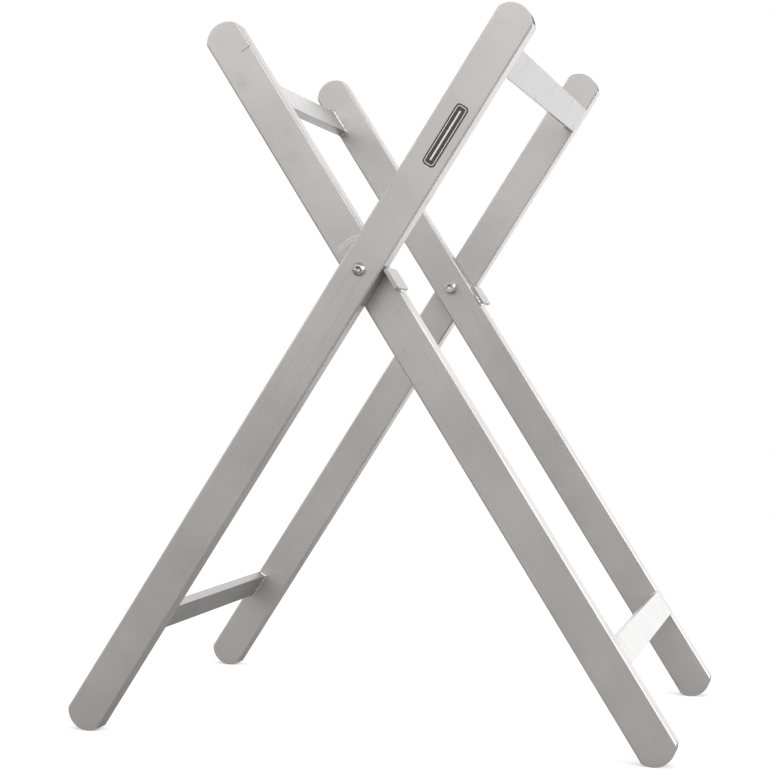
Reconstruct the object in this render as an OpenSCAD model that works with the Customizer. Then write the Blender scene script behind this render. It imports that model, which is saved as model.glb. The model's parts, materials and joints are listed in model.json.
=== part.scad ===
// Folding trestle: two welded tube frames that cross at one pair of pivot bolts.
// +Z is up and +Y points to the rear. X lies across the open legs.
// The origin is on the floor, midway between the feet.
// The outer frame leans to the right and the inner frame, between its legs, to the left.

/* [Legs] */
// Width of a leg across its broad face
leg_w = 40; // [30:1:50]
// Depth of a leg from front to rear
leg_d = 20; // [18:1:30]
// Wall thickness of the leg tube
leg_wall = 2; // [1.5:0.1:3]
// Radius of the leg's four long edges
leg_edge_r = 2; // [1:0.1:3]
// Distance from the pivot to the top of a leg
leg_up = 300; // [285:1:400]
// Distance from the pivot to the tip of the foot
leg_down = 564; // [500:1:700]
// How much the radius of a rounded leg end exceeds half the leg's width
end_extra_r = 2.5; // [2:0.5:8]
// Slant of each leg from the vertical, with the trestle open
lean = 32.6; // [25:0.1:40]

/* [Frames] */
// Width over the outer frame, from front face to rear face
frame_w = 424; // [300:2:600]
// Gap between an outer leg and the inner leg beside it
leg_gap = 1; // [0.8:0.1:2]

/* [Crossbars] */
// Height of a crossbar, measured along the leg
bar_h = 30; // [20:1:40]
// Thickness of a crossbar
bar_t = 10; // [6:1:12]
// Distance from the pivot to the middle of an upper crossbar
bar_up = 250; // [200:1:255]
// Distance from the pivot to the middle of a lower crossbar
bar_down = 452.5; // [380:0.5:460]
// Radius of a crossbar's long edges
bar_edge_r = 0.6; // [0.3:0.1:1.5]
// Leg length of the fillet weld around a crossbar end, and of the bevel under it
weld_leg = 2; // [1:0.1:2.2]

/* [Stop tabs] */
// Length of a stop tab along the inner leg
tab_l = 24; // [18:1:32]
// Thickness of a stop tab
tab_t = 4; // [3:0.5:6]
// Radius of a stop tab's corners
tab_corner_r = 1.5; // [0.5:0.5:3]
// How far the front tab reaches out past the inner leg's outer face
tab_front_reach = 18; // [8:1:20]
// How far the rear tab reaches out past the inner leg's outer face
tab_rear_reach = 21; // [8:1:21]
// Clearance between a tab and the leg that it stops
stop_gap = 0.3; // [0.2:0.1:1]

/* [Pivot bolts] */
// Diameter of the bolt's shank
bolt_d = 8; // [6:1:8]
// Diameter of the bolt's domed head
head_d = 14; // [13:0.5:16]
// Height of the bolt's domed head
head_h = 4.4; // [3.5:0.1:5]
// Size across the flats of the hexagon socket
socket_af = 5; // [4:0.5:5]
// Depth of the hexagon socket
socket_depth = 2.6; // [2:0.1:3]
// Outside diameter of the sleeves that line the pivot holes
sleeve_d = 12; // [11:0.5:12.5]
// Radial clearance between the shank and the sleeves it turns in
run_gap = 0.05; // [0.02:0.01:0.09]
// Diameter of the spacer washer between two legs
spacer_d = 24; // [16:1:30]
// Thickness of the spacer washer
spacer_t = 0.7; // [0.3:0.1:0.7]
// Size across the flats of the lock nut
nut_af = 13; // [13:0.5:15]
// Height of the lock nut's hexagon
nut_hex_h = 6.2; // [5:0.1:7]
// Height of the lock nut, its collar included
nut_h = 8; // [7.5:0.1:9]
// Clearance between the lock nut and the inner leg
nut_gap = 0.3; // [0.2:0.1:0.6]
// How far the shank stands out of the lock nut
shank_out = 0.7; // [0.3:0.1:3]

/* [End plugs] */
// Length of an end plug, measured from the tip of the leg
plug_l = 22; // [18:1:40]
// Depth of the plug's face below the cut end of the tube
plug_recess = 0.8; // [0.3:0.1:1]
// Wall thickness of the plug
plug_wall = 2; // [1.5:0.1:3]

/* [Label] */
// Length of the label, along the front outer leg
label_l = 68; // [40:1:90]
// Width of the label
label_w = 14; // [8:1:20]
// Thickness of the label
label_t = 0.3; // [0.2:0.1:0.5]
// Radius of the label's corners
label_r = 4; // [2:0.5:4]
// Distance from the pivot to the middle of the label
label_up = 156; // [100:1:180]
// Distance of the label's middle from the leg's centre line
label_side = 3.5; // [-5:0.5:8]

/* [Hidden] */

aluminium = [0.72, 0.71, 0.69];
bright_weld = [0.82, 0.82, 0.80];
steel = [0.78, 0.78, 0.76];
black_plastic = [0.07, 0.07, 0.07];
white_nylon = [0.88, 0.87, 0.82];
bronze = [0.62, 0.47, 0.27];
label_black = [0.05, 0.05, 0.055];

round_fn = 96;
edge_fn = 32;
// How far a cutting shape runs past the surface that it cuts
cut = 1;
front = -1;
rear = 1;

half_w = leg_w / 2;
end_r = half_w + end_extra_r;
// Height of the pivot: the rounded feet touch the floor at z = 0
pivot_z = (leg_down - end_r) * cos(lean) + end_r;
// Depths (distances from the middle plane) of the leg faces
outer_face = frame_w / 2;
outer_inside = outer_face - leg_d;
inner_face = outer_inside - leg_gap;
inner_inside = inner_face - leg_d;
// Top end of the stop tabs: the outer leg's edge meets them when the trestle is open
tab_top = -(half_w + stop_gap - half_w * cos(2 * lean)) / sin(2 * lean);
// The shank ends this far inside the inner leg's inner face
shank_end = inner_inside - nut_gap - nut_h - shank_out;
// The lock nut's round collar is narrower than its hexagon and holds the insert
collar_step = 0.5;
collar_wall = 0.8;
collar_d = nut_af - 2 * collar_step;
insert_d = collar_d - 2 * collar_wall;
insert_h = 1.6;
// The head's dome: its flat top, its centre below the seat and its radius
head_flat_r = 3.8;
dome_drop = (pow(head_d / 2, 2) - pow(head_flat_r, 2) - pow(head_h, 2)) / (2 * head_h);
dome_r = sqrt(pow(head_d / 2, 2) + pow(dome_drop, 2));

// ---- Placing -----------------------------------------------------------------------
// In a frame's own space Z runs up the leg from the pivot and X runs across the leg.

module in_outer_frame() {
    translate([0, 0, pivot_z]) rotate([0, lean, 0]) children();
}

module in_inner_frame() {
    translate([0, 0, pivot_z]) rotate([0, -lean, 0]) children();
}

// A shape that stands on z = 0 is turned so that it points inwards from depth y
module inwards(side, y) {
    translate([0, side * y, 0]) rotate([side * 90, 0, 0]) children();
}

// ---- Shared shapes -----------------------------------------------------------------

module rounded_rectangle(w, d, r) {
    square([w - 2 * r, d], center = true);
    square([w, d - 2 * r], center = true);
    for (x = [-1, 1], y = [-1, 1]) {
        translate([x * (w / 2 - r), y * (d / 2 - r)]) circle(r = r, $fn = edge_fn);
    }
}

// What lies beyond a leg's rounded end. Direction 1 is the top and -1 is the foot.
module beyond_end(tip, direction, r) {
    block = 2 * end_r;
    centre_z = tip - direction * end_r;
    translate([0, 0, centre_z]) {
        difference() {
            translate([-block, -block, direction > 0 ? 0 : -block]) cube([2 * block, 2 * block, block]);
            rotate([90, 0, 0]) cylinder(r = r, h = 2 * block + 2 * cut, center = true, $fn = round_fn);
        }
    }
}

// A tube leg with two rounded ends and the sleeve's hole through it
module leg_tube() {
    difference() {
        translate([0, 0, -leg_down]) {
            linear_extrude(leg_down + leg_up) rounded_rectangle(leg_w, leg_d, leg_edge_r);
        }
        translate([-half_w + leg_wall, -leg_d / 2 + leg_wall, -leg_down - cut]) {
            cube([leg_w - 2 * leg_wall, leg_d - 2 * leg_wall, leg_down + leg_up + 2 * cut]);
        }
        beyond_end(leg_up, 1, end_r);
        beyond_end(-leg_down, -1, end_r);
        rotate([90, 0, 0]) cylinder(d = sleeve_d, h = leg_d + 2 * cut, center = true, $fn = round_fn);
    }
}

// A plug that fills the mouth of the tube, hollow on the inside
module end_plug(tip, direction) {
    body_w = leg_w - 2 * leg_wall;
    body_d = leg_d - 2 * leg_wall;
    pocket_w = body_w - 2 * plug_wall;
    pocket_d = body_d - 2 * plug_wall;
    floor_z = end_r - plug_recess - sqrt(pow(end_r - plug_recess, 2) - pow(pocket_w / 2, 2));
    pocket_l = plug_l - plug_recess - plug_wall - floor_z;
    low = direction > 0 ? tip - plug_l : tip;
    pocket_low = direction > 0 ? low - cut : tip + plug_l - pocket_l;
    difference() {
        translate([-body_w / 2, -body_d / 2, low]) cube([body_w, body_d, plug_l]);
        beyond_end(tip, direction, end_r - plug_recess);
        translate([-pocket_w / 2, -pocket_d / 2, pocket_low]) {
            cube([pocket_w, pocket_d, pocket_l + cut]);
        }
    }
}

// A flat bar from front to rear. Side is the leg edge that it is flush with. The ends of its
// free face are bevelled, so that the weld leaves the rest of that face clear.
module crossbar(half_length, side, middle) {
    translate([side * (half_w - bar_t / 2), 0, middle]) {
        difference() {
            rotate([90, 0, 0]) {
                linear_extrude(2 * half_length, center = true) rounded_rectangle(bar_t, bar_h, bar_edge_r);
            }
            for (end = [front, rear]) {
                translate([-side * bar_t / 2, end * half_length, 0]) {
                    mirror([side > 0 ? 0 : 1, 0, 0]) mirror([0, end > 0 ? 0 : 1, 0]) end_bevel();
                }
            }
        }
    }
}

// The corner that a bevel takes off, as a prism with its sharp corner at the origin
module end_bevel() {
    linear_extrude(bar_h + 2 * cut, center = true) {
        polygon([[-cut, cut], [-cut, -weld_leg - cut], [weld_leg + cut, cut]]);
    }
}

// One straight fillet weld: a triangle whose legs lie on +X and +Y, pulled along Z
module fillet(length) {
    linear_extrude(length) polygon([[0, 0], [weld_leg, 0], [0, weld_leg]]);
}

// The weld around one end of a crossbar, on a leg face at y = 0 that looks to +Y: a fillet on
// three sides, the bevel filled, and the groove at the leg's rounded edge filled flush
module crossbar_end_weld(side) {
    weld_h = bar_h + 2 * weld_leg;
    mirror([side > 0 ? 1 : 0, 0, 0]) {
        translate([bar_t - half_w, 0, -weld_h / 2]) fillet(weld_h);
        translate([bar_t - half_w, 0, -bar_h / 2]) bevel_fill();
        translate([leg_edge_r - half_w, 0, -weld_h / 2]) edge_groove_fill(weld_h);
        for (end = [-1, 1]) {
            translate([-half_w, 0, end * bar_h / 2]) {
                mirror([0, 0, end > 0 ? 0 : 1]) {
                    rotate([90, 0, 90]) fillet(bar_t + weld_leg);
                }
            }
        }
    }
}

module bevel_fill() {
    linear_extrude(bar_h) polygon([[0, 0], [0, weld_leg], [-weld_leg, 0]]);
}

module edge_groove_fill(length) {
    difference() {
        translate([-leg_edge_r, -leg_edge_r, 0]) cube([leg_edge_r, leg_edge_r, length]);
        translate([0, -leg_edge_r, -cut]) cylinder(r = leg_edge_r, h = length + 2 * cut, $fn = edge_fn);
    }
}

module crossbar_welds(half_length, side, middle) {
    for (end = [front, rear]) {
        translate([0, end * half_length, middle]) {
            mirror([0, end > 0 ? 1 : 0, 0]) crossbar_end_weld(side);
        }
    }
}

module sleeve(side, from_y) {
    inwards(side, from_y) {
        difference() {
            cylinder(d = sleeve_d, h = leg_d, $fn = round_fn);
            translate([0, 0, -cut]) cylinder(d = bolt_d + 2 * run_gap, h = leg_d + 2 * cut, $fn = round_fn);
        }
    }
}

// ---- Pivot hardware ----------------------------------------------------------------

module pivot_bolt(side) {
    inwards(side, outer_face) {
        cylinder(d = bolt_d, h = outer_face - shank_end, $fn = round_fn);
        mirror([0, 0, 1]) {
            difference() {
                intersection() {
                    cylinder(d = head_d, h = head_h, $fn = round_fn);
                    translate([0, 0, -dome_drop]) sphere(r = dome_r, $fn = round_fn);
                }
                translate([0, 0, head_h - socket_depth]) {
                    cylinder(d = socket_af / cos(30), h = socket_depth + cut, $fn = 6);
                }
            }
        }
    }
}

module spacer_washer(side) {
    inwards(side, outer_inside) {
        difference() {
            cylinder(d = spacer_d, h = spacer_t, $fn = round_fn);
            translate([0, 0, -cut]) cylinder(d = bolt_d, h = spacer_t + 2 * cut, $fn = round_fn);
        }
    }
}

module lock_nut(side) {
    inwards(side, inner_inside - nut_gap) {
        difference() {
            union() {
                cylinder(d = nut_af / cos(30), h = nut_hex_h, $fn = 6);
                cylinder(d = collar_d, h = nut_h, $fn = round_fn);
            }
            translate([0, 0, -cut]) cylinder(d = bolt_d, h = nut_h + 2 * cut, $fn = round_fn);
            translate([0, 0, nut_h - insert_h]) cylinder(d = insert_d, h = insert_h + cut, $fn = round_fn);
        }
    }
}

module nut_insert(side) {
    inwards(side, inner_inside - nut_gap - nut_h + insert_h) {
        difference() {
            cylinder(d = insert_d, h = insert_h, $fn = round_fn);
            translate([0, 0, -cut]) cylinder(d = bolt_d, h = insert_h + 2 * cut, $fn = round_fn);
        }
    }
}

// ---- Outer frame -------------------------------------------------------------------

module outer_leg(side) {
    color(aluminium) in_outer_frame() translate([0, side * (outer_face - leg_d / 2), 0]) leg_tube();
}

module outer_plug(side, tip, direction) {
    color(black_plastic) in_outer_frame() {
        translate([0, side * (outer_face - leg_d / 2), 0]) end_plug(tip, direction);
    }
}

module outer_upper_crossbar() {
    color(aluminium) in_outer_frame() crossbar(outer_inside, 1, bar_up);
}

module outer_lower_crossbar() {
    color(aluminium) in_outer_frame() crossbar(outer_inside, -1, -bar_down);
}

module outer_upper_welds() {
    color(bright_weld) in_outer_frame() crossbar_welds(outer_inside, 1, bar_up);
}

module outer_lower_welds() {
    color(bright_weld) in_outer_frame() crossbar_welds(outer_inside, -1, -bar_down);
}

module leg_label() {
    color(label_black) in_outer_frame() {
        translate([label_side, -outer_face, label_up]) {
            rotate([90, 0, 0]) linear_extrude(label_t) rounded_rectangle(label_w, label_l, label_r);
        }
    }
}

module outer_sleeve(side) {
    color(steel) in_outer_frame() sleeve(side, outer_face);
}

module placed_bolt(side) {
    color(steel) in_outer_frame() pivot_bolt(side);
}

module placed_spacer(side) {
    color(white_nylon) in_outer_frame() spacer_washer(side);
}

module placed_nut(side) {
    color(steel) in_outer_frame() lock_nut(side);
}

module placed_insert(side) {
    color(white_nylon) in_outer_frame() nut_insert(side);
}

// ---- Inner frame -------------------------------------------------------------------

module inner_leg(side) {
    color(aluminium) in_inner_frame() translate([0, side * (inner_face - leg_d / 2), 0]) leg_tube();
}

module inner_plug(side, tip, direction) {
    color(black_plastic) in_inner_frame() {
        translate([0, side * (inner_face - leg_d / 2), 0]) end_plug(tip, direction);
    }
}

module inner_upper_crossbar() {
    color(aluminium) in_inner_frame() crossbar(inner_inside, -1, bar_up);
}

module inner_lower_crossbar() {
    color(aluminium) in_inner_frame() crossbar(inner_inside, 1, -bar_down);
}

module inner_upper_welds() {
    color(bright_weld) in_inner_frame() crossbar_welds(inner_inside, -1, bar_up);
}

module inner_lower_welds() {
    color(bright_weld) in_inner_frame() crossbar_welds(inner_inside, 1, -bar_down);
}

module inner_bush(side) {
    color(bronze) in_inner_frame() sleeve(side, inner_face);
}

// A flat tab on the inner leg's upper edge, between two depths
module stop_tab(y_low, y_high) {
    color(aluminium) in_inner_frame() {
        translate([half_w, (y_low + y_high) / 2, tab_top - tab_l / 2]) rotate([0, 90, 0]) {
            linear_extrude(tab_t) rounded_rectangle(tab_l, y_high - y_low, tab_corner_r);
        }
    }
}

module front_stop_tab() {
    stop_tab(-inner_face - tab_front_reach, -inner_inside);
}

module rear_stop_tab() {
    stop_tab(inner_inside + leg_edge_r, inner_face + tab_rear_reach);
}

// A fillet under each tab's lower end, and a weld along the rear tab's inner edge
module stop_tab_welds() {
    front_run = leg_d - leg_edge_r - max(leg_edge_r, tab_corner_r);
    rear_run = leg_d - 2 * leg_edge_r - tab_corner_r;
    color(bright_weld) in_inner_frame() {
        fillet_under_tab(leg_edge_r - inner_face + front_run, front_run);
        fillet_under_tab(inner_face - leg_edge_r, rear_run);
        rear_tab_edge_weld(tab_l - 2 * tab_corner_r);
    }
}

// A fillet on the rear tab's edge, and the groove at the leg's rounded edge filled flush
module rear_tab_edge_weld(length) {
    translate([half_w, inner_inside, tab_top - tab_l + tab_corner_r]) mirror([0, 1, 0]) {
        translate([0, -leg_edge_r, 0]) fillet(length);
        translate([-leg_edge_r, 0, 0]) mirror([1, 0, 0]) edge_groove_fill(length);
    }
}

// It starts at depth y_high and runs towards the front
module fillet_under_tab(y_high, length) {
    translate([half_w, y_high, tab_top - tab_l]) rotate([90, 90, 0]) fillet(length);
}

// ---- Nodes -------------------------------------------------------------------------

outer_leg(front);  // front_outer_leg
outer_leg(rear);  // rear_outer_leg
outer_upper_crossbar();
outer_lower_crossbar();
outer_plug(front, leg_up, 1);  // front_outer_top_plug
outer_plug(front, -leg_down, -1);  // front_outer_foot_plug
outer_plug(rear, leg_up, 1);  // rear_outer_top_plug
outer_plug(rear, -leg_down, -1);  // rear_outer_foot_plug
outer_sleeve(front);  // front_outer_sleeve
outer_sleeve(rear);  // rear_outer_sleeve
placed_bolt(front);  // front_pivot_bolt
placed_bolt(rear);  // rear_pivot_bolt
placed_spacer(front);  // front_spacer_washer
placed_spacer(rear);  // rear_spacer_washer
placed_nut(front);  // front_lock_nut
placed_nut(rear);  // rear_lock_nut
placed_insert(front);  // front_nut_insert
placed_insert(rear);  // rear_nut_insert
outer_upper_welds();
outer_lower_welds();
leg_label();
inner_leg(front);  // front_inner_leg
inner_leg(rear);  // rear_inner_leg
inner_upper_crossbar();
inner_lower_crossbar();
inner_plug(front, leg_up, 1);  // front_inner_top_plug
inner_plug(front, -leg_down, -1);  // front_inner_foot_plug
inner_plug(rear, leg_up, 1);  // rear_inner_top_plug
inner_plug(rear, -leg_down, -1);  // rear_inner_foot_plug
inner_bush(front);  // front_inner_bush
inner_bush(rear);  // rear_inner_bush
front_stop_tab();
rear_stop_tab();
inner_upper_welds();
inner_lower_welds();
stop_tab_welds();
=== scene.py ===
"""Looks of the folding trestle: satin aluminium legs and bars, weld beads, bolts and nuts, and a studio.

Lengths are in metres. Most pieces are described in a frame's own space, "leg space": X across the
leg, Y to the rear and Z up the leg, with the origin on the pivot axis.
"""
import json
import math
import random

import bmesh
import bpy
from mathutils import Matrix, Vector

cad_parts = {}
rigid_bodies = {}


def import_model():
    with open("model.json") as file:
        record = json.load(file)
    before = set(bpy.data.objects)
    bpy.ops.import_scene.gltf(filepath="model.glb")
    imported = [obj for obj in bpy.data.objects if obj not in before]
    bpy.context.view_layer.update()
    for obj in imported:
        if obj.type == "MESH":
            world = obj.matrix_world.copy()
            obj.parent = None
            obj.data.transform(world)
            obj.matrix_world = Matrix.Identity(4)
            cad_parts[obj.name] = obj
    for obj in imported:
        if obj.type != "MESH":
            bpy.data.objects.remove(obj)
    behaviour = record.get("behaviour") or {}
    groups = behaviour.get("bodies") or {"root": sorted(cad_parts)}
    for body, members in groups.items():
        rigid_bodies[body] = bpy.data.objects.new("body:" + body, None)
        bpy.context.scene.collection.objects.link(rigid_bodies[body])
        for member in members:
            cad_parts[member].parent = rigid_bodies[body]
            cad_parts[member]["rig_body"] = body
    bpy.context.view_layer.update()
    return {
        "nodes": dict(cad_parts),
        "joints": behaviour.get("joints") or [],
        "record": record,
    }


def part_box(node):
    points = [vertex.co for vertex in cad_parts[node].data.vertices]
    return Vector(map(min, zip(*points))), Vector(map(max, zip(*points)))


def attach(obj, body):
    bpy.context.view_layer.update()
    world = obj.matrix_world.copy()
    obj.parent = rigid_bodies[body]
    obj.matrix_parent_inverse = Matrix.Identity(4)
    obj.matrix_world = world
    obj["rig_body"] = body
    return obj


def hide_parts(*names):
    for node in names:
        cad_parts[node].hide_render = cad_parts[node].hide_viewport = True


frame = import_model()

MM = 0.001
OUTER, INNER = "outer_frame", "inner_frame"
FRONT, REAR = -1, 1
PLACE = {FRONT: "front", REAR: "rear"}

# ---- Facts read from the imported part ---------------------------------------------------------

PIVOT = Vector(frame["joints"][0]["pos_m"])
REST_AXIS = next(m["axis"] for m in frame["record"]["mounts"] if m["name"] == "outer_rest_face")
LEAN = math.atan2(REST_AXIS[2], -REST_AXIS[0])
SPACE = {
    OUTER: Matrix.Translation(PIVOT) @ Matrix.Rotation(LEAN, 4, "Y"),
    INNER: Matrix.Translation(PIVOT) @ Matrix.Rotation(-LEAN, 4, "Y"),
}


def leg_box(node):
    """Lowest and highest corner of a CAD node in its frame's own space."""
    obj = frame["nodes"][node]
    to_leg = SPACE[obj["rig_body"]].inverted()
    points = [to_leg @ v.co for v in obj.data.vertices]
    return [Vector([pick(p[i] for p in points) for i in range(3)]) for pick in (min, max)]


LEG_LOW, LEG_HIGH = leg_box("front_outer_leg")
HALF_W = LEG_HIGH.x
LEG_D = LEG_HIGH.y - LEG_LOW.y

# Radius of a leg's long edges, and leg length of a fillet weld, as in the CAD part
LEG_EDGE_R = 2 * MM
WELD = 2 * MM

# ---- Node trees ------------------------------------------------------------------------------


class Tree:
    """Makes shader nodes and links them. A value is a number, a colour or another node's output."""

    def __init__(self, tree):
        self.tree = tree
        tree.nodes.clear()

    def node(self, kind, inputs=None, **settings):
        made = self.tree.nodes.new(kind)
        for key, value in settings.items():
            setattr(made, key, value)
        for key, value in (inputs or {}).items():
            self.put(made.inputs[key], value)
        return made

    def put(self, socket, value):
        if isinstance(value, bpy.types.NodeSocket):
            self.tree.links.new(value, socket)
        else:
            socket.default_value = value

    # Places

    def object_space(self):
        return self.node("ShaderNodeTexCoord").outputs["Object"]

    def leg_space(self, space):
        """Texture coordinates in a frame's own space, in metres."""
        turned = self.node("ShaderNodeMapping", {"Vector": self.object_space()}, vector_type="POINT")
        back = space.inverted()
        turned.inputs["Rotation"].default_value = back.to_euler()
        turned.inputs["Location"].default_value = back.to_translation()
        return turned.outputs["Vector"]

    def stretched(self, vector, x, y, z):
        return self.node("ShaderNodeVectorMath", {0: vector, 1: (x, y, z)}, operation="MULTIPLY").outputs[0]

    def split(self, vector):
        return self.node("ShaderNodeSeparateXYZ", {0: vector}).outputs

    def distance(self, a, b):
        return self.node("ShaderNodeVectorMath", {0: a, 1: b}, operation="DISTANCE").outputs["Value"]

    def seen_by_camera(self):
        return self.node("ShaderNodeLightPath").outputs["Is Camera Ray"]

    # Numbers

    def math(self, operation, a, b=0.0, c=0.0, clamp=False):
        made = self.node("ShaderNodeMath", {0: a, 1: b, 2: c}, operation=operation)
        made.use_clamp = clamp
        return made.outputs[0]

    def invert(self, mask):
        return self.math("SUBTRACT", 1.0, mask)

    def apart(self, a, b):
        """How far two numbers are from each other."""
        return self.math("ABSOLUTE", self.math("SUBTRACT", a, b))

    def hypot(self, a, b):
        squares = self.math("ADD", self.math("MULTIPLY", a, a), self.math("MULTIPLY", b, b))
        return self.math("SQRT", squares)

    def smooth(self, value, low, high):
        """0 below low, 1 above high and smooth between."""
        made = self.node("ShaderNodeMapRange", {"Value": value, "From Min": low, "From Max": high})
        made.interpolation_type = "SMOOTHSTEP"
        return made.outputs["Result"]

    def ramp(self, value, low, high):
        """value from 0 to 1 becomes low to high."""
        return self.math("MULTIPLY_ADD", value, high - low, low)

    def blend(self, share, a, b):
        """A share of a, and the rest of b."""
        return self.math("MULTIPLY_ADD", a, share, self.math("MULTIPLY", b, 1.0 - share))

    def noise(self, vector, scale, detail=2.0, roughness=0.5):
        values = {"Vector": vector, "Scale": scale, "Detail": detail, "Roughness": roughness}
        return self.node("ShaderNodeTexNoise", values).outputs["Fac"]

    def profile(self, value, stops):
        """Straight lines between stops of (value from -1 to 1, result from 0 to 3)."""
        top = 3.0
        made = self.node("ShaderNodeValToRGB", {"Fac": self.math("MULTIPLY_ADD", value, 0.5, 0.5)})
        points = made.color_ramp.elements
        while len(points) < len(stops):
            points.new(0.5)
        for point, (at, result) in zip(points, stops):
            point.position = 0.5 + 0.5 * at
            point.color = (result / top,) * 3 + (1,)
        return self.math("MULTIPLY", made.outputs["Color"], top)

    # Colours

    def mix(self, factor, a, b):
        """Colour a at factor 0, and b at 1. Inputs 6 and 7 and output 2 are a Mix node's colours."""
        return self.node("ShaderNodeMix", {0: factor, 6: a, 7: b}, data_type="RGBA").outputs[2]


def material(name, metallic=0.0):
    """An empty node material with a Principled shader wired to its output."""
    made = bpy.data.materials.new(name)
    made.use_nodes = True
    tree = Tree(made.node_tree)
    shader = tree.node("ShaderNodeBsdfPrincipled")
    shader.inputs["Metallic"].default_value = metallic
    output = tree.node("ShaderNodeOutputMaterial")
    tree.tree.links.new(shader.outputs["BSDF"], output.inputs["Surface"])
    return made, tree, shader


def bump(tree, shader, height, strength, distance):
    values = {"Height": height, "Strength": strength, "Distance": distance}
    made = tree.node("ShaderNodeBump", values)
    tree.put(shader.inputs["Normal"], made.outputs["Normal"])


def grey(tone):
    return (tone, tone, tone, 1)


def shaded(colour, share):
    """The colour at a share of its brightness."""
    return tuple(share * c for c in colour[:3]) + (1,)


# ---- Aluminium -------------------------------------------------------------------------------

ALUMINIUM = (0.53, 0.509, 0.495, 1)
WORN_ALUMINIUM = (0.72, 0.70, 0.685, 1)
SCRIBED = (0.13, 0.125, 0.12, 1)
DULL_SHARE = 0.865
LEG_ROUGHNESS = (0.42, 0.52)
BAR_ROUGHNESS = (0.38, 0.48)

# Brightness of the tabs and crossbars: one aluminium made lighter or darker piece by piece, as painted light
# and shade for how the light falls on each
TAB_LIT_AND_SHADED_TONES = {"front": 0.51, "rear": 0.414}
BAR_LIT_AND_SHADED_TONES = {"outer_upper": 0.403, "outer_lower": 0.455, "inner_upper": 0.51, "inner_lower": 0.54}

# How many marks there are per metre
GRAIN_ACROSS, GRAIN_ALONG = 800.0, 8.0
SCRATCHES_ACROSS, SCRATCHES_ALONG, SCRATCH_PATCHES = 700.0, 30.0, 11.0
CLOUDS, STAINS, WORN_RUNS, RAGGED_WEAR = 13.0, 34.0, 14.0, 60.0

Y_AXIS, Z_AXIS = 1, 2


def neutral(tone):
    """A metal colour that is barely warm."""
    return (tone, 0.975 * tone, 0.955 * tone, 1)


def handling_scratches(tree, here):
    """Patches of short scratches that cross the grain at a shallow angle."""
    slanted = tree.node("ShaderNodeMapping", {"Vector": here, "Rotation": (0.2, 0.5, 0.3)}).outputs[0]
    stretched = tree.stretched(slanted, SCRATCHES_ACROSS, SCRATCHES_ACROSS, SCRATCHES_ALONG)
    lines = tree.noise(stretched, 1.0, 1.0)
    patches = tree.smooth(tree.noise(here, SCRATCH_PATCHES), 0.56, 0.66)
    return tree.math("MULTIPLY", tree.smooth(lines, 0.72, 0.78), patches)


def worn_edges(tree, here, half_x, half_y, middle):
    """Wear on the long edges of a leg, in ragged runs. The half sizes are the leg's section, and
    middle is how far its middle line is from y = 0."""
    x, y, _ = tree.split(here)
    from_x = tree.math("SUBTRACT", half_x, tree.math("ABSOLUTE", x))
    from_y = tree.math("SUBTRACT", half_y, tree.apart(tree.math("ABSOLUTE", y), middle))
    from_edge = tree.math("ADD", from_x, from_y)
    ragged = tree.ramp(tree.noise(here, RAGGED_WEAR), -0.6 * MM, 0.6 * MM)
    rubbed = tree.invert(tree.smooth(tree.math("ADD", from_edge, ragged), 0.3 * MM, 2.2 * MM))
    runs = tree.smooth(tree.noise(here, WORN_RUNS), 0.42, 0.60)
    return tree.math("MULTIPLY", rubbed, tree.ramp(runs, 0.05, 0.5))


def drawn_aluminium(name, space, along, metal=ALUMINIUM, roughness=LEG_ROUGHNESS, edges=None, marks=None):
    """Satin drawn aluminium: die lines along one axis of leg space, clouds, stains and scratches.

    Edges is (half_x, half_y, middle) for worn_edges. Marks is a function of (tree, here) that
    returns (bright, dark) masks for marks of the piece's own."""
    made, tree, shader = material(name, metallic=1.0)
    here = tree.leg_space(space)
    lines = [GRAIN_ACROSS] * 3
    lines[along] = GRAIN_ALONG
    grain = tree.noise(tree.stretched(here, *lines), 1.0, 3.0, 0.6)
    cloud = tree.noise(here, CLOUDS, 4.0, 0.55)
    stain = tree.smooth(tree.noise(here, STAINS, 3.0, 0.6), 0.56, 0.74)

    tone = tree.smooth(tree.blend(0.14, grain, cloud), 0.34, 0.66)
    tone = tree.math("SUBTRACT", tone, tree.math("MULTIPLY", stain, 0.45), clamp=True)
    colour = tree.mix(tree.ramp(tone, 0.35, 1.0), shaded(metal, DULL_SHARE), metal)

    scratches = handling_scratches(tree, here)
    bright = tree.math("MULTIPLY", scratches, 0.4)
    if edges:
        bright = tree.math("MAXIMUM", bright, worn_edges(tree, here, *edges))
    if marks:
        bright_marks, dark_marks = marks(tree, here)
        bright = tree.math("MAXIMUM", bright, bright_marks)
        colour = tree.mix(dark_marks, colour, SCRIBED)
    tree.put(shader.inputs["Base Color"], tree.mix(bright, colour, WORN_ALUMINIUM))

    rough = tree.ramp(tree.blend(0.4, grain, cloud), *roughness)
    rough = tree.math("MULTIPLY_ADD", bright, -0.12, tree.math("MULTIPLY_ADD", stain, 0.04, rough))
    tree.put(shader.inputs["Roughness"], rough)
    relief = tree.math("MULTIPLY_ADD", scratches, -0.6, grain)
    bump(tree, shader, relief, 0.06, 0.02 * MM)
    return made


ARC_RADII = (35.9 * MM, 33.1 * MM)
SCRIBE_Z, SCRIBE_SLOPE = 261.5 * MM, -0.03
SCRIBE_FROM, SCRIBE_TO = 7.2 * MM, 17.9 * MM


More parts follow.
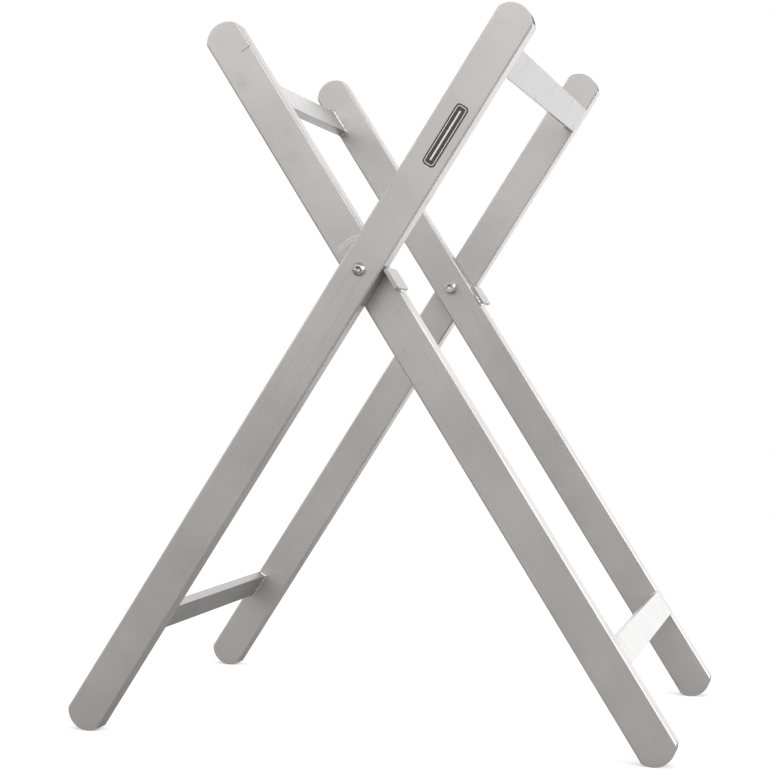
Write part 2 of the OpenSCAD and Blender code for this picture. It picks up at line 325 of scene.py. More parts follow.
def rubbed_arcs(tree, here, face_y):
    """Fine broken arcs round the pivot that fade out to the left and below."""
    x, _, z = tree.split(here)
    wobble = tree.ramp(tree.noise(here, 260.0), -0.25 * MM, 0.25 * MM)
    radius = tree.math("ADD", tree.distance(here, (0.0, face_y, 0.0)), wobble)
    broken = tree.ramp(tree.smooth(tree.noise(here, 150.0), 0.34, 0.52), 0.55, 1.0)
    arcs = 0.0
    for arc_radius in ARC_RADII:
        arc = tree.invert(tree.smooth(tree.apart(radius, arc_radius), 0.2 * MM, 0.75 * MM))
        arcs = tree.math("ADD", arcs, arc)
    fading = tree.math("MULTIPLY", tree.smooth(x, -18 * MM, -8 * MM), tree.smooth(z, 8 * MM, 18 * MM))
    return tree.math("MULTIPLY", tree.math("MULTIPLY", arcs, fading), broken, clamp=True)


def scribed_line(tree, here, face_y):
    """A line scribed across the leg near its top, with a punch dot at its end."""
    x, _, z = tree.split(here)
    level = tree.math("MULTIPLY_ADD", tree.math("SUBTRACT", x, SCRIBE_FROM), SCRIBE_SLOPE, SCRIBE_Z)
    line = tree.invert(tree.smooth(tree.apart(z, level), 0.2 * MM, 0.6 * MM))
    line = tree.math("MULTIPLY", line, tree.smooth(x, SCRIBE_FROM, SCRIBE_FROM + 1.5 * MM))
    line = tree.math("MULTIPLY", line, tree.math("LESS_THAN", x, SCRIBE_TO))
    from_dot = tree.distance(here, (SCRIBE_TO, face_y, SCRIBE_Z))
    dot = tree.invert(tree.smooth(from_dot, 0.6 * MM, 1.2 * MM))
    return tree.math("MAXIMUM", tree.math("MULTIPLY", line, 0.65), dot)


def pivot_marks(tree, here):
    """Bright arcs and a dark line on the front face of the front inner leg."""
    face_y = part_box("front_inner_leg")[0].y
    on_face = tree.math("LESS_THAN", tree.split(here)[1], face_y + 0.3 * MM)
    masks = rubbed_arcs(tree, here, face_y), scribed_line(tree, here, face_y)
    return [tree.math("MULTIPLY", mask, on_face) for mask in masks]


# ---- Other materials -------------------------------------------------------------------------

STAINLESS = (0.56, 0.555, 0.545, 1)
# Near black of the painted shade in the bolts' hexagon sockets
SOCKET_SHADE = (0.18, 0.175, 0.17, 1)
ZINC = (0.58, 0.58, 0.575, 1)
BRIGHT_WELD, OXIDE = (0.66, 0.65, 0.64, 1), (0.40, 0.39, 0.38, 1)
BRONZE, STAINED_BRONZE = (0.62, 0.45, 0.24, 1), (0.42, 0.28, 0.14, 1)
NYLON, NYLON_RUBBED = (0.74, 0.73, 0.68, 1), (0.82, 0.81, 0.77, 1)
PLUG_BLACK, PLUG_RUBBED = (0.016, 0.016, 0.017, 1), (0.035, 0.035, 0.036, 1)
FILM, DUSTY_FILM, PRINT = (0.030, 0.030, 0.031, 1), (0.060, 0.058, 0.057, 1), (0.72, 0.71, 0.69, 1)

# The label's print: how far each outline is from the label's edge, and the radius of its corners
BORDER_MARGIN, BORDER_CORNER_R = 2.0 * MM, 2.4 * MM
STRIPE_MARGIN, STRIPE_CORNER_R = 6.1 * MM, 0.8 * MM


def weld_metal():
    made, tree, shader = material("weld_bead", metallic=1.0)
    here = tree.object_space()
    oxide = tree.smooth(tree.noise(here, 320.0, 3.0), 0.46, 0.68)
    tree.put(shader.inputs["Base Color"], tree.mix(oxide, BRIGHT_WELD, OXIDE))
    tree.put(shader.inputs["Roughness"], tree.ramp(oxide, 0.28, 0.50))
    bump(tree, shader, tree.noise(here, 900.0, 3.0), 0.35, 0.08 * MM)
    return made


def stainless(name, colour, roughness, smudges_per_metre, recess=None):
    """Recess is (radius, depth) of the socket round the pivot axis, which gets painted shade beyond that
    depth in Y.
    """
    made, tree, shader = material(name, metallic=1.0)
    here = tree.object_space()
    smudge = tree.noise(here, smudges_per_metre, 3.0)
    tone = tree.mix(tree.smooth(smudge, 0.4, 0.75), colour, shaded(colour, 0.78))
    rough = tree.ramp(smudge, roughness - 0.06, roughness + 0.08)
    if recess:
        radius, depth = recess
        x, y, z = tree.split(tree.leg_space(SPACE[OUTER]))
        near_axis = tree.math("LESS_THAN", tree.hypot(x, z), radius)
        painted_socket_shade = tree.math("MULTIPLY", near_axis, tree.math("GREATER_THAN", tree.math("ABSOLUTE", y), depth))
        # Painted shade: the socket recess round the axis is darkened towards a near black grey
        tone = tree.mix(tree.math("MULTIPLY", painted_socket_shade, 0.35), tone, SOCKET_SHADE)
        rough = tree.math("MULTIPLY_ADD", painted_socket_shade, 0.2, rough)
    tree.put(shader.inputs["Base Color"], tone)
    tree.put(shader.inputs["Roughness"], rough)
    bump(tree, shader, tree.noise(here, 2600.0, 2.0), 0.15, 0.02 * MM)
    return made


def moulded(name, colour, lighter, roughness, pebbles_per_metre, relief):
    """Moulded plastic: fine pebbled skin, with patches rubbed a little lighter and smoother."""
    made, tree, shader = material(name)
    here = tree.object_space()
    rub = tree.smooth(tree.noise(here, 90.0, 3.0), 0.48, 0.72)
    tree.put(shader.inputs["Base Color"], tree.mix(rub, colour, lighter))
    tree.put(shader.inputs["Roughness"], tree.ramp(rub, roughness, roughness - 0.12))
    bump(tree, shader, tree.noise(here, pebbles_per_metre, 2.0), 0.4, relief)
    return made


def bearing_bronze():
    made, tree, shader = material("bearing_bronze", metallic=1.0)
    here = tree.object_space()
    pores = tree.node("ShaderNodeTexVoronoi", {"Vector": here, "Scale": 1500.0}).outputs["Distance"]
    stain = tree.smooth(tree.noise(here, 200.0, 3.0), 0.40, 0.70)
    tree.put(shader.inputs["Base Color"], tree.mix(stain, BRONZE, STAINED_BRONZE))
    tree.put(shader.inputs["Roughness"], tree.ramp(stain, 0.30, 0.48))
    bump(tree, shader, tree.smooth(pores, 0.05, 0.2), 0.5, 0.02 * MM)
    return made


def label_film():
    """Dark film with a thin pale border line and one plain stripe down its middle."""
    made, tree, shader = material("label_film")
    here = tree.leg_space(SPACE[OUTER])
    low, high = leg_box("leg_label")
    x, _, z = tree.split(here)
    from_x = tree.apart(x, (low.x + high.x) / 2)
    from_z = tree.apart(z, (low.z + high.z) / 2)
    half_x, half_z = (high.x - low.x) / 2, (high.z - low.z) / 2

    def off_outline(margin, corner_r):
        """Distance from a rounded outline that lies a margin inside the label's edge."""
        over_x = tree.math("MAXIMUM", tree.math("SUBTRACT", from_x, half_x - margin - corner_r), 0.0)
        over_z = tree.math("MAXIMUM", tree.math("SUBTRACT", from_z, half_z - margin - corner_r), 0.0)
        return tree.math("SUBTRACT", tree.hypot(over_x, over_z), corner_r)

    off_border = tree.math("ABSOLUTE", off_outline(BORDER_MARGIN, BORDER_CORNER_R))
    border = tree.invert(tree.smooth(off_border, 0.25 * MM, 0.45 * MM))
    off_stripe = off_outline(STRIPE_MARGIN, STRIPE_CORNER_R)
    stripe = tree.invert(tree.smooth(off_stripe, -0.10 * MM, 0.10 * MM))
    worn = tree.smooth(tree.noise(here, 700.0, 3.0), 0.30, 0.40)
    printed = tree.math("MULTIPLY", tree.math("MAXIMUM", border, stripe), tree.ramp(worn, 0.7, 1.0))
    dust = tree.noise(here, 260.0, 4.0)
    film = tree.mix(tree.smooth(dust, 0.45, 0.8), FILM, DUSTY_FILM)
    tree.put(shader.inputs["Base Color"], tree.mix(printed, film, PRINT))
    tree.put(shader.inputs["Roughness"], tree.ramp(dust, 0.32, 0.55))
    shader.inputs["Coat Weight"].default_value = 0.15
    shader.inputs["Coat Roughness"].default_value = 0.3
    bump(tree, shader, tree.math("MULTIPLY_ADD", printed, 0.5, dust), 0.3, 0.03 * MM)
    return made


# ---- Meshes ----------------------------------------------------------------------------------


def new_object(name, data):
    made = bpy.data.objects.new(name, data)
    bpy.context.scene.collection.objects.link(made)
    return made


def face_outwards(mesh):
    work = bmesh.new()
    work.from_mesh(mesh)
    bmesh.ops.recalc_face_normals(work, faces=work.faces)
    work.to_mesh(mesh)
    work.free()


class Shell:
    """Vertices and faces of one piece, collected ring by ring."""

    def __init__(self):
        self.points = []
        self.faces = []

    def ring(self, points):
        first = len(self.points)
        self.points.extend(Vector(p) for p in points)
        return list(range(first, len(self.points)))

    def skin(self, rings):
        """Joins closed rings of equal length with quads."""
        for a, b in zip(rings, rings[1:]):
            for i in range(len(a)):
                j = (i + 1) % len(a)
                self.faces.append((a[i], a[j], b[j], b[i]))

    def cap(self, ring, flip=False):
        self.faces.append(tuple(reversed(ring)) if flip else tuple(ring))

    def loft(self, sections):
        """A solid through closed sections of equal length, capped at both ends."""
        rings = [self.ring(s) for s in sections]
        self.skin(rings)
        self.cap(rings[0], flip=True)
        self.cap(rings[-1])

    def loop(self, sections):
        """A solid through closed sections whose last one joins the first."""
        rings = [self.ring(s) for s in sections]
        self.skin(rings + rings[:1])

    def mesh(self, name, finish, place=Matrix.Identity(4)):
        """The collected faces as a smooth mesh of one material, moved by place."""
        mesh = bpy.data.meshes.new(name)
        mesh.from_pydata([place @ p for p in self.points], [], self.faces)
        mesh.validate()
        mesh.polygons.foreach_set("use_smooth", [True] * len(mesh.polygons))
        mesh.materials.append(finish)
        return mesh

    def build(self, name, place, body, finish, slot, stands_for, sharp_angle):
        """The finished piece, which faces outwards and has sharp edges above an angle in degrees."""
        mesh = self.mesh(name, finish, place)
        face_outwards(mesh)
        mesh.set_sharp_from_angle(angle=math.radians(sharp_angle))
        obj = new_object(name, mesh)
        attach(obj, body)
        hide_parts(stands_for)


# ---- Weld beads ------------------------------------------------------------------------------

FIRST_SEED, TAB_SEED = 11, 41
UP, DOWN, RIGHT = Vector((0, 0, 1)), Vector((0, 0, -1)), Vector((1, 0, 0))
QUARTER = math.radians(90)

# A bead's section: points of its arc, how deep its root lies, and degrees above which an edge is sharp
BEAD_ARC, ROOT_DEPTH, WELD_SHARP = 7, 0.15 * MM, 60

# Along its run: step, ripples with crescent fronts, slim ends and slow swells, as shares of its size
BEAD_STEP = 0.30 * MM
RIPPLE, RIPPLE_DEPTH, CRESCENT = 1.7 * MM, 0.10, 0.42
BLUNT_RUN, BLUNT_SHARE = 1.2 * MM, 0.35
SWELLS, SWELL_RUN, SWELL_DEPTH = 8, 2.1 * MM, 0.05


def wave(turns):
    return 0.5 + 0.5 * math.cos(2 * math.pi * turns)


def bead(shell, path, size, rng):
    """A rippled fillet bead, slimmer at both ends. Path holds (root, out, away, run): the bead's root
    point, its direction along the plate it lies on, its direction up the other plate, and the run so
    far."""
    phase = rng.random()
    swell = [rng.uniform(-1, 1) for _ in range(SWELLS)]
    sections = []
    end = path[-1][3]
    for root, out, away, run in path:
        from_end = max(0.0, min(run, end - run))
        blunt = min(1.0, math.sqrt(from_end / BLUNT_RUN) * (1 - BLUNT_SHARE) + BLUNT_SHARE)
        slow = sum(a * math.sin(run / ((k + 2) * SWELL_RUN) + k) for k, a in enumerate(swell)) / SWELLS
        section = [root - (out + away) * ROOT_DEPTH]
        for i in range(BEAD_ARC):
            turn = QUARTER * i / (BEAD_ARC - 1)
            crescent = CRESCENT * math.sin(2 * turn)
            dimple = wave(run / RIPPLE + phase - crescent) ** 0.7
            reach = size * blunt * (1 - RIPPLE_DEPTH + RIPPLE_DEPTH * dimple + SWELL_DEPTH * slow)
            section.append(root + (out * math.cos(turn) + away * math.sin(turn)) * reach)
        sections.append(section)
    shell.loft(sections)


def straight(start, end, out, away, run):
    """Path points from start to end, and the run reached."""
    length = (end - start).length
    count = max(2, round(length / BEAD_STEP))
    points = [(start.lerp(end, i / count), out, away, run + length * i / count) for i in range(count + 1)]
    return points, run + length


def corner(root, out_from, out_to, away, run, size):
    """Path points that turn on the spot from one outward direction to the next."""
    steps = 8
    points = []
    for i in range(1, steps):
        turn = i / steps * QUARTER
        out = (out_from * math.cos(turn) + out_to * math.sin(turn)).normalized()
        points.append((root, out, away, run + size * turn * 0.5))
    return points, run + size * QUARTER * 0.5


def crossbar_bead(shell, low, high, flush, leg_face, inward, rng):
    """The bead round three sides of a bar's end, top, free face and bottom, on a leg's inner face.
    Low and high are the bar's corners, and flush is X at its side that is level with the leg's."""
    free = low.x if flush > 0 else high.x
    to_free = Vector((math.copysign(1, free - flush), 0, 0))
    away = Vector((0, inward, 0))
    start = flush + to_free.x * LEG_EDGE_R
    spots = [(start, high.z), (free, high.z), (free, low.z), (start, low.z)]
    roots = [Vector((x, leg_face, z)) for x, z in spots]
    outs = [UP, to_free, DOWN]
    path, run = [], 0.0
    for i, out in enumerate(outs):
        points, run = straight(roots[i], roots[i + 1], out, away, run)
        path += points
        if i + 1 < len(outs):
            points, run = corner(roots[i + 1], out, outs[i + 1], away, run, WELD)
            path += points
    bead(shell, path, WELD, rng)


def ground_weld(shell, flush, z_low, z_high, leg_face, inward):
    """The groove beside a leg's rounded edge, filled and ground level with the leg's side at flush."""
    side = math.copysign(1, flush)
    steps = 8
    proud, sunk = 0.25 * MM, 0.02 * MM
    taper, taper_z = 0.55, 0.6 * WELD
    surface = leg_face + inward * proud
    corner_x, corner_y = flush - side * LEG_EDGE_R, leg_face - inward * LEG_EDGE_R
    outline = [(flush - side * sunk, surface)]
    for i in range(steps + 1):
        turn = QUARTER * i / steps
        across, inwards = LEG_EDGE_R * math.cos(turn), LEG_EDGE_R * math.sin(turn)
        outline.append((corner_x + side * across, corner_y + inward * inwards))
    outline.append((corner_x, surface))
    sections = []
    for z, share in ((z_low - taper_z, taper), (z_low, 1.0), (z_high, 1.0), (z_high + taper_z, taper)):
        points = [(corner_x + (x - corner_x) * share, corner_y + (y - corner_y) * share) for x, y in outline]
        sections.append([(x, y, z) for x, y in points])
    shell.loft(sections)


def crossbar_welds(bar, leg, body, finish, ground_finish, seed):
    """Rippled beads where the bar stands back from the leg's side, ground welds where it is flush."""
    rng = random.Random(seed)
    beads, ground = Shell(), Shell()
    name = f"{bar}_welds"
    low, high = leg_box(f"{bar}_crossbar")
    flush = math.copysign(HALF_W, low.x + high.x)
    # Y of the rear leg's inner face, which the front leg's mirrors
    inner_side = leg_box(leg)[0].y
    for side in (FRONT, REAR):
        crossbar_bead(beads, low, high, flush, side * inner_side, -side, rng)
        ground_weld(ground, flush, low.z, high.z, side * inner_side, -side)
    beads.build(name + "_beads", SPACE[body], body, finish, "weld", name, WELD_SHARP)
    ground.build(name + "_ground", SPACE[body], body, ground_finish, "weld", name, WELD_SHARP)


def under_tab(shell, tab_z, y_from, y_to, rng):
    """A thin bead under a tab's lower end, with a thick tack that starts on the leg's rounded edge."""
    path, run = [], 0.0
    steps = 5
    sweep = math.radians(65)
    edge_middle = Vector((HALF_W - LEG_EDGE_R, y_from, tab_z))
    for i in range(steps):
        turn = sweep * (1 - i / steps)
        away = Vector((math.cos(turn), -math.sin(turn), 0))
        path.append((edge_middle + away * LEG_EDGE_R, DOWN, away, run))
        run += LEG_EDGE_R * sweep / steps
    tack_end = Vector((HALF_W, y_from + WELD, tab_z))
    points, run = straight(Vector((HALF_W, y_from, tab_z)), tack_end, DOWN, RIGHT, run)
    bead(shell, path + points, WELD, rng)
    thin_run = straight(tack_end, Vector((HALF_W, y_to, tab_z)), DOWN, RIGHT, 0.0)[0]
    bead(shell, thin_run, 0.55 * WELD, rng)


def tab_welds(finish, ground_finish):
    """Beads under the stop tabs, and a short one with a ground weld on the rear tab's inner edge."""
    rng = random.Random(TAB_SEED)
    beads, ground = Shell(), Shell()
    tab_corner_r = 1.5 * MM
    for place in PLACE.values():
        tab_low, tab_high = leg_box(f"{place}_stop_tab")
        leg_low, leg_high = leg_box(f"{place}_inner_leg")
        y_to = min(tab_high.y - tab_corner_r, leg_high.y - LEG_EDGE_R)
        under_tab(beads, tab_low.z, leg_low.y + LEG_EDGE_R, y_to, rng)
    tab_low, tab_high = leg_box("rear_stop_tab")
    leg_face = leg_box("rear_inner_leg")[0].y
    ground_weld(ground, HALF_W, tab_low.z, tab_high.z - 2 * tab_corner_r, leg_face, FRONT)
    start = Vector((HALF_W, tab_low.y, tab_low.z + tab_corner_r))
    end = Vector((HALF_W, tab_low.y, (tab_low.z + tab_high.z) / 2))
    path = straight(start, end, Vector((0, FRONT, 0)), RIGHT, 0.0)[0]
    bead(beads, path, 0.5 * WELD, rng)
    node = "stop_tab_welds"
    beads.build("stop_tab_beads", SPACE[INNER], INNER, finish, "weld", node, WELD_SHARP)
    ground.build("stop_tab_ground", SPACE[INNER], INNER, ground_finish, "weld", node, WELD_SHARP)


# ---- Bolts and nuts --------------------------------------------------------------------------

# Points of a circle, and degrees above which an edge is sharp
TURN_STEPS, FASTENER_SHARP = 72, 32

BOLT_R = 4 * MM
THREAD_PITCH = 1.25 * MM
THREAD_DEPTH = 0.68 * MM
THREAD_LENGTH = 13 * MM
RINGS_PER_PITCH = 8
HEAD_FLAT_R = 3.8 * MM
HEAD_RIM_H = 0.45 * MM
SOCKET_FLATS = 5 * MM
SOCKET_DEPTH = 2.6 * MM

NUT_FLATS = 13 * MM
NUT_HEX_H = 6.2 * MM
NUT_CHAMFER_R = 6.35 * MM
NUT_BORE_R = 3.42 * MM
INSERT_R = 5.2 * MM
INSERT_BORE_R = 3.75 * MM

# Radius and height in millimetres of the collar that is rolled over the nut's insert
COLLAR = [(6.02, 6.25), (5.98, 6.6), (5.95, 7.1), (5.80, 7.55)]
COLLAR += [(5.50, 7.86), (5.12, 8.0), (4.82, 7.93), (4.72, 7.72)]


def circle(radius, z, steps=TURN_STEPS):
    """Radius is a number or a function of the angle."""
    points = []
    for i in range(steps):
        angle = 2 * math.pi * i / steps
        r = radius(angle) if callable(radius) else radius
        points.append((r * math.cos(angle), r * math.sin(angle), z))
    return points


def hexagon(across_flats):
    def radius(angle):
        return across_flats / 2 / math.cos((angle % math.radians(60)) - math.radians(30))

    return radius


def to_corners(across_flats):
    """How far a hexagon's corners are from its middle."""
    return across_flats / 2 / math.cos(math.radians(30))


def smaller(a, b):
    return lambda angle: min(a(angle), b)


def pointing_in(side, y):
    """Turns a piece that stands on z = 0 so that it points to the middle plane from depth y."""
    return Matrix.Translation((0, y, 0)) @ Matrix.Rotation(side * QUARTER, 4, "X")


def thread_radius(z, end):
    """Radius of the thread as a function of the angle, with flat crests and a chamfered end."""

    def radius(angle):
        place = z / THREAD_PITCH - angle / (2 * math.pi)
        tooth = abs((place % 1.0) * 2 - 1)
        cut = THREAD_DEPTH * min(1.0, max(0.0, 1.15 * tooth - 0.08))
        chamfer = max(0.0, 0.9 * MM - (end - z)) * 0.9
        return min(BOLT_R - cut, BOLT_R - chamfer)

    return radius


def bolt_head(head_r, head_h):
    """Rings from the socket's floor over the dome to the seat at z = 0. The head is below it."""
    socket = hexagon(SOCKET_FLATS)
    floor = head_h - SOCKET_DEPTH
    drop = (head_r**2 - HEAD_FLAT_R**2 - head_h**2) / (2 * head_h)
    dome_r = math.hypot(head_r, drop)

    # The drill point in the socket's floor, the socket's wall and its chamfered mouth
    rings = [circle(0.4 * MM, -(floor - 0.7 * MM)), circle(smaller(socket, 2.45 * MM), -floor)]
    rings.append(circle(socket, -(floor + 0.15 * MM)))
    rings.append(circle(socket, -(head_h - 0.45 * MM)))
    rings.append(circle(to_corners(SOCKET_FLATS) + 0.1 * MM, -(head_h - 0.02 * MM)))
    # The flat top, the dome and the rounded rim
    rings.append(circle(HEAD_FLAT_R - 0.4 * MM, -head_h))
    dome_steps = 8
    for i in range(dome_steps + 1):
        share = i / dome_steps
        z = (head_h - 0.05 * MM) * (1 - share) + HEAD_RIM_H * share
        rim_r = math.sqrt(dome_r**2 - (z + drop) ** 2)
        rings.append(circle(rim_r, -z))
    rings.append(circle(rim_r - 0.02 * MM, -0.18 * MM))
    rings.append(circle(rim_r - 0.35 * MM, 0.0))
    return rings


def bolt_shank(length):
    """Rings of the plain shank and the thread, from the seat at z = 0 to the tip."""
    rings = [circle(BOLT_R + 0.3 * MM, 0.0), circle(BOLT_R, 0.3 * MM)]
    start = length - THREAD_LENGTH
    rings.append(circle(BOLT_R, start))
    count = math.ceil((length - start) / (THREAD_PITCH / RINGS_PER_PITCH))
    for i in range(1, count + 1):
        z = start + (length - start) * i / count
        rings.append(circle(thread_radius(z, length), z))
    rings.append(circle(1.6 * MM, length))
    rings.append(circle(0.5 * MM, length - 0.45 * MM))
    return rings


def pivot_bolt(side, finish):
    """Button head screw: domed head, hexagon socket, plain shank and a threaded end."""
    node = PLACE[side] + "_pivot_bolt"
    low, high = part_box(node)
    leg_low, leg_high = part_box(PLACE[side] + "_outer_leg")
    seat, top, tip = (leg_low.y, low.y, high.y) if side == FRONT else (leg_high.y, high.y, low.y)
    shell = Shell()
    shell.loft(bolt_head((high.x - low.x) / 2, abs(top - seat)) + bolt_shank(abs(tip - seat)))
    place = SPACE[OUTER] @ pointing_in(side, seat)
    shell.build(node + "_threaded", place, OUTER, finish, "fastener", node, FASTENER_SHARP)


def nut_outline(insert_low, insert_top):
    """Rings round the nut's wall: outside, over the collar, the insert's groove and down the bore."""
    flats = hexagon(NUT_FLATS)
    point_r = to_corners(NUT_FLATS)
    rise = (point_r - NUT_CHAMFER_R) * math.tan(math.radians(30))
    shares = (0.0, 0.33, 0.66, 1.0)

    # The chamfered underside and top of the hexagon, then the collar
    rings = [circle(NUT_CHAMFER_R - 0.25 * MM, 0.0)]
    for share in shares:
        reach = NUT_CHAMFER_R + (point_r - NUT_CHAMFER_R) * share
        rings.append(circle(smaller(flats, reach), 0.08 * MM + rise * share))
    top_r = NUT_CHAMFER_R - 0.15 * MM
    for share in reversed(shares):
        reach = top_r + (point_r - top_r) * share
        rings.append(circle(smaller(flats, reach), NUT_HEX_H - 1.15 * rise * share))
    rings += [circle(r * MM, z * MM) for r, z in COLLAR]
    # The groove that holds the insert, then the bore
    rings.append(circle(4.75 * MM, insert_top))
    rings.append(circle(INSERT_R, insert_top))
    rings.append(circle(INSERT_R, insert_low))
    rings.append(circle(NUT_BORE_R + 0.5 * MM, insert_low))
    rings.append(circle(NUT_BORE_R, insert_low - 0.5 * MM))
    rings.append(circle(NUT_BORE_R, 0.7 * MM))
    rings.append(circle(BOLT_R + 0.15 * MM, 0.0))
    return rings


def insert_outline(low, top):
    """Rings round the nylon insert's wall, rounded at its bore."""
    outline = [(INSERT_R, low), (INSERT_R, top), (INSERT_BORE_R + 0.55 * MM, top)]
    outline += [(INSERT_BORE_R + 0.2 * MM, top - 0.12 * MM), (INSERT_BORE_R, top - 0.4 * MM)]
    outline += [(INSERT_BORE_R, low + 0.2 * MM), (INSERT_BORE_R + 0.2 * MM, low)]
    return [circle(r, z) for r, z in outline]


def lock_nut(side, finish, nylon):
    """Lock nut with chamfered corners and a collar rolled over its nylon ring."""
    nut_node, insert_node = PLACE[side] + "_lock_nut", PLACE[side] + "_nut_insert"
    low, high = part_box(nut_node)
    height = high.y - low.y
    insert_low, insert_top = height - 1.9 * MM, height - 0.45 * MM
    place = SPACE[OUTER] @ pointing_in(side, low.y if side == FRONT else high.y)
    nut, insert = Shell(), Shell()
    nut.loop(nut_outline(insert_low, insert_top))
    insert.loop(insert_outline(insert_low, insert_top))
    nut.build(nut_node + "_rolled", place, OUTER, finish, "fastener", nut_node, FASTENER_SHARP)
    insert.build(insert_node + "_ring", place, OUTER, nylon, "nylon", insert_node, FASTENER_SHARP)


# ---- CAD nodes that stay: edges and materials --------------------------------------------------

# How wide the softened edges are
LEG_EDGE = 0.30 * MM
TAB_EDGE = 0.7 * MM
PLUG_EDGE = 0.4 * MM
RING_EDGE = 0.2 * MM
WASHER_EDGE = 0.1 * MM
LABEL_EDGE = 0.08 * MM


def soften_edges(obj, width, segments):
    """Breaks the sharp edges of a CAD node with modifiers only."""
    weld = obj.modifiers.new("merge", "WELD")
    weld.merge_threshold = 0.002 * MM
    edge = obj.modifiers.new("edges", "BEVEL")
    edge.width = width
    edge.segments = segments
    edge.limit_method = "ANGLE"
    edge.angle_limit = math.radians(35)
    edge.miter_outer = "MITER_ARC"
    edge.use_clamp_overlap = True
    shade = obj.modifiers.new("shading", "WEIGHTED_NORMAL")
    shade.keep_sharp = False
    shade.weight = 80


def dress(node, finish, edge_width=None, segments=2):
    obj = frame["nodes"][node]
    obj.data.materials.clear()
    obj.data.materials.append(finish)
    if edge_width:
        soften_edges(obj, edge_width, segments)


def dress_legs(body, prefix):
    low, high = leg_box(f"front_{prefix}_leg")
    edges = (HALF_W, LEG_D / 2, -(low.y + high.y) / 2)
    plain = drawn_aluminium(f"{prefix}_leg_aluminium", SPACE[body], Z_AXIS, edges=edges)
    front = plain
    if body == INNER:
        front = drawn_aluminium("marked_leg_aluminium", SPACE[body], Z_AXIS, edges=edges, marks=pivot_marks)
    dress(f"front_{prefix}_leg", front, LEG_EDGE)
    dress(f"rear_{prefix}_leg", plain, LEG_EDGE)


def dress_crossbar(bar, body):
    """Returns the bar's finish, which its ground welds take too."""
    # Painted light and shade: this bar's aluminium is made lighter or darker than the others'
    metal = neutral(BAR_LIT_AND_SHADED_TONES[bar])
    finish = drawn_aluminium(f"{bar}_bar_aluminium", SPACE[body], Y_AXIS, metal, BAR_ROUGHNESS)
    dress(f"{bar}_crossbar", finish)
    return finish


def dress_tab(place):
    # Painted light and shade: this tab's aluminium is made lighter or darker than the other's
    metal = neutral(TAB_LIT_AND_SHADED_TONES[place])
    finish = drawn_aluminium(f"{place}_tab_aluminium", SPACE[INNER], Z_AXIS, metal)
    dress(f"{place}_stop_tab", finish, TAB_EDGE, segments=3)


weld_finish = weld_metal()
# The bolt heads get painted shade in their sockets round their axis, from 1 mm outside the leg
socket = (SOCKET_FLATS * 0.55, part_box("rear_outer_leg")[1].y + 1 * MM)
bolt_steel = stainless("bolt_stainless", STAINLESS, roughness=0.20, smudges_per_metre=300.0, recess=socket)
nut_steel = stainless("nut_zinc", ZINC, roughness=0.24, smudges_per_metre=420.0)
nylon_white = moulded("nylon_white", NYLON, NYLON_RUBBED, 0.45, pebbles_per_metre=1200.0, relief=0.02 * MM)
plug_black = moulded("plug_black", PLUG_BLACK, PLUG_RUBBED, 0.60, pebbles_per_metre=1600.0, relief=0.05 * MM)
bronze = bearing_bronze()

seed = FIRST_SEED
bar_finishes = {}
for body, prefix in ((OUTER, "outer"), (INNER, "inner")):
    dress_legs(body, prefix)
    for bar in (f"{prefix}_upper", f"{prefix}_lower"):
        bar_finishes[bar] = dress_crossbar(bar, body)
        crossbar_welds(bar, f"rear_{prefix}_leg", body, weld_finish, bar_finishes[bar], seed)
        seed += 1
tab_welds(weld_finish, bar_finishes["inner_upper"])

for side, place in PLACE.items():
    dress_tab(place)
    dress(f"{place}_inner_bush", bronze, RING_EDGE)
    dress(f"{place}_outer_sleeve", bolt_steel, RING_EDGE)
    dress(f"{place}_spacer_washer", nylon_white, WASHER_EDGE)
    for plug in ("outer_top", "outer_foot", "inner_top", "inner_foot"):
        dress(f"{place}_{plug}_plug", plug_black, PLUG_EDGE)
    pivot_bolt(side, bolt_steel)
    lock_nut(side, nut_steel, nylon_white)
dress("leg_label", label_film(), LABEL_EDGE)

# ---- Studio ----------------------------------------------------------------------------------

WHITE, WARM, COOL = grey(1.0), (1.0, 0.995, 0.988, 1), (0.982, 0.992, 1.008, 1)
FLOOR_R = 2.6
FLOOR_SHARES = (0.1, 0.4, 0.7, 1.0)
FLOOR_SIDES = 96
FLOOR_LIFT = 0.45

# The room's glow on each side: (sine of the height above the horizon, strength)
GLOW_BEHIND = [(-0.40, 0.7), (-0.32, 1.4), (-0.22, 2.1), (-0.05, 2.3), (0.08, 1.9)]
GLOW_BEHIND += [(0.18, 1.55), (0.30, 1.9), (0.38, 2.15), (0.47, 1.4), (0.8, 0.45)]
GLOW_IN_FRONT = [(-0.04, 0.2), (0.08, 0.5), (0.25, 1.8), (0.45, 2.9), (0.62, 1.8), (0.85, 0.45)]
GLOW_RIGHT = [(-0.05, 0.45), (0.12, 1.5), (0.5, 2.0), (0.75, 0.6)]
GLOW_LEFT = [(-0.10, 0.45), (0.05, 0.9), (0.4, 1.1), (0.8, 0.45)]

# The photo's camera, solved from the edges of the real object
CAMERA_FROM_PIVOT = Vector((0.48072, -1.78667, -0.09463))
CAMERA_YAW, CAMERA_PITCH, CAMERA_ROLL = (math.radians(a) for a in (15.941, -0.795, 0.473))


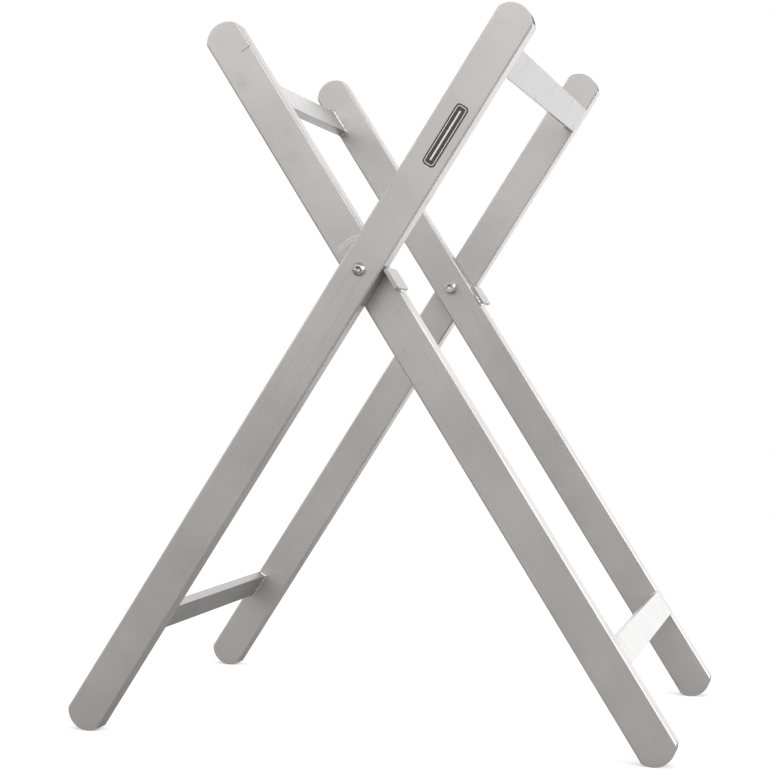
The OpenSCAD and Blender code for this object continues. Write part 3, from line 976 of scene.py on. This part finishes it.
def floor_paper():
    """Pale paper that fades out to the backdrop, and that the camera sees lifted almost to white. Its
    bounce light is set apart from that: weak on the left and strong on the right."""
    made, tree, shader = material("floor_paper")
    here = tree.object_space()
    seen = tree.seen_by_camera()
    pale = tree.mix(tree.noise(here, 3.0, 3.0), grey(0.52), grey(0.56))
    to_right = tree.smooth(tree.split(here)[0], 0.35, 1.1)
    bounce = tree.mix(to_right, grey(0.34), grey(0.85))
    tree.put(shader.inputs["Base Color"], tree.mix(seen, bounce, pale))
    shader.inputs["Emission Color"].default_value = WHITE
    tree.put(shader.inputs["Emission Strength"], tree.math("MULTIPLY", seen, FLOOR_LIFT))
    shader.inputs["Roughness"].default_value = 0.85
    shader.inputs["Specular IOR Level"].default_value = 0.0
    reach = tree.math("MULTIPLY", tree.distance(here, (0, 0, 0)), tree.ramp(seen, 1.5, 1.0))
    tree.put(shader.inputs["Alpha"], tree.invert(tree.smooth(reach, FLOOR_R * 0.3, FLOOR_R)))
    return made


def studio_floor():
    shell = Shell()
    rings = [shell.ring(circle(FLOOR_R * share, 0.0, FLOOR_SIDES)) for share in FLOOR_SHARES]
    shell.skin(rings)
    shell.cap(rings[0], flip=True)
    new_object("floor", shell.mesh("floor", floor_paper()))


def softbox(name, where, target, width, height, power):
    data = bpy.data.lights.new(name, "AREA")
    data.shape = "RECTANGLE"
    data.size, data.size_y = width, height
    data.energy = power
    lamp = new_object(name, data)
    lamp.visible_camera = False
    lamp.location = where
    lamp.rotation_euler = (Vector(target) - Vector(where)).to_track_quat("-Z", "Y").to_euler()
    return lamp


def studio_room():
    """A pale room that the camera sees as plain white. Its glow changes with height, and is blended
    from side to side. Behind the trestle it is a little cooler than in front."""
    world = bpy.data.worlds.new("studio")
    bpy.context.scene.world = world
    world.use_nodes = True
    tree = Tree(world.node_tree)
    x, y, z = tree.split(tree.node("ShaderNodeTexCoord").outputs["Generated"])
    to_back = tree.smooth(y, -0.25, 0.55)
    glow = tree.mix(to_back, tree.profile(z, GLOW_IN_FRONT), tree.profile(z, GLOW_BEHIND))
    glow = tree.mix(tree.smooth(x, 0.45, 0.85), glow, tree.profile(z, GLOW_RIGHT))
    glow = tree.mix(tree.smooth(x, -0.45, -0.85), glow, tree.profile(z, GLOW_LEFT))
    seen = tree.seen_by_camera()
    strength = tree.math("MAXIMUM", seen, tree.math("MULTIPLY", tree.invert(seen), glow))
    colour = tree.mix(seen, tree.mix(to_back, WARM, COOL), WHITE)
    sky = tree.node("ShaderNodeBackground", {"Color": colour, "Strength": strength})
    output = tree.node("ShaderNodeOutputWorld")
    tree.tree.links.new(sky.outputs[0], output.inputs["Surface"])


def photo_camera():
    """Camera almost two metres away at about mid height, turned left onto the trestle."""
    yaw, pitch, roll = CAMERA_YAW, CAMERA_PITCH, CAMERA_ROLL
    forward = Vector((-math.sin(yaw) * math.cos(pitch), math.cos(yaw) * math.cos(pitch), math.sin(pitch)))
    level = Vector((math.cos(yaw), math.sin(yaw), 0))
    upright = level.cross(forward)
    right = level * math.cos(roll) + upright * math.sin(roll)
    up = upright * math.cos(roll) - level * math.sin(roll)
    data = bpy.data.cameras.new("camera")
    data.lens, data.sensor_width = 77.01, 36.0
    data.clip_start, data.clip_end = 0.05, 60.0
    camera = new_object("camera", data)
    turn = Matrix((right, up, -forward)).transposed().to_4x4()
    camera.matrix_world = Matrix.Translation(PIVOT + CAMERA_FROM_PIVOT) @ turn
    bpy.context.scene.camera = camera


studio_floor()
studio_room()
softbox("key", where=(2.1, -0.95, 1.0), target=PIVOT, width=0.8, height=1.5, power=18)
floor_wash = softbox("floor_wash", (0.0, 0.3, 3.2), target=(0.0, 0.3, 0.0), width=3.0, height=3.0, power=45)
# It lights the floor and stays out of the metal's reflections
floor_wash.visible_glossy = False
photo_camera()
bpy.context.scene.view_settings.view_transform = "Standard"
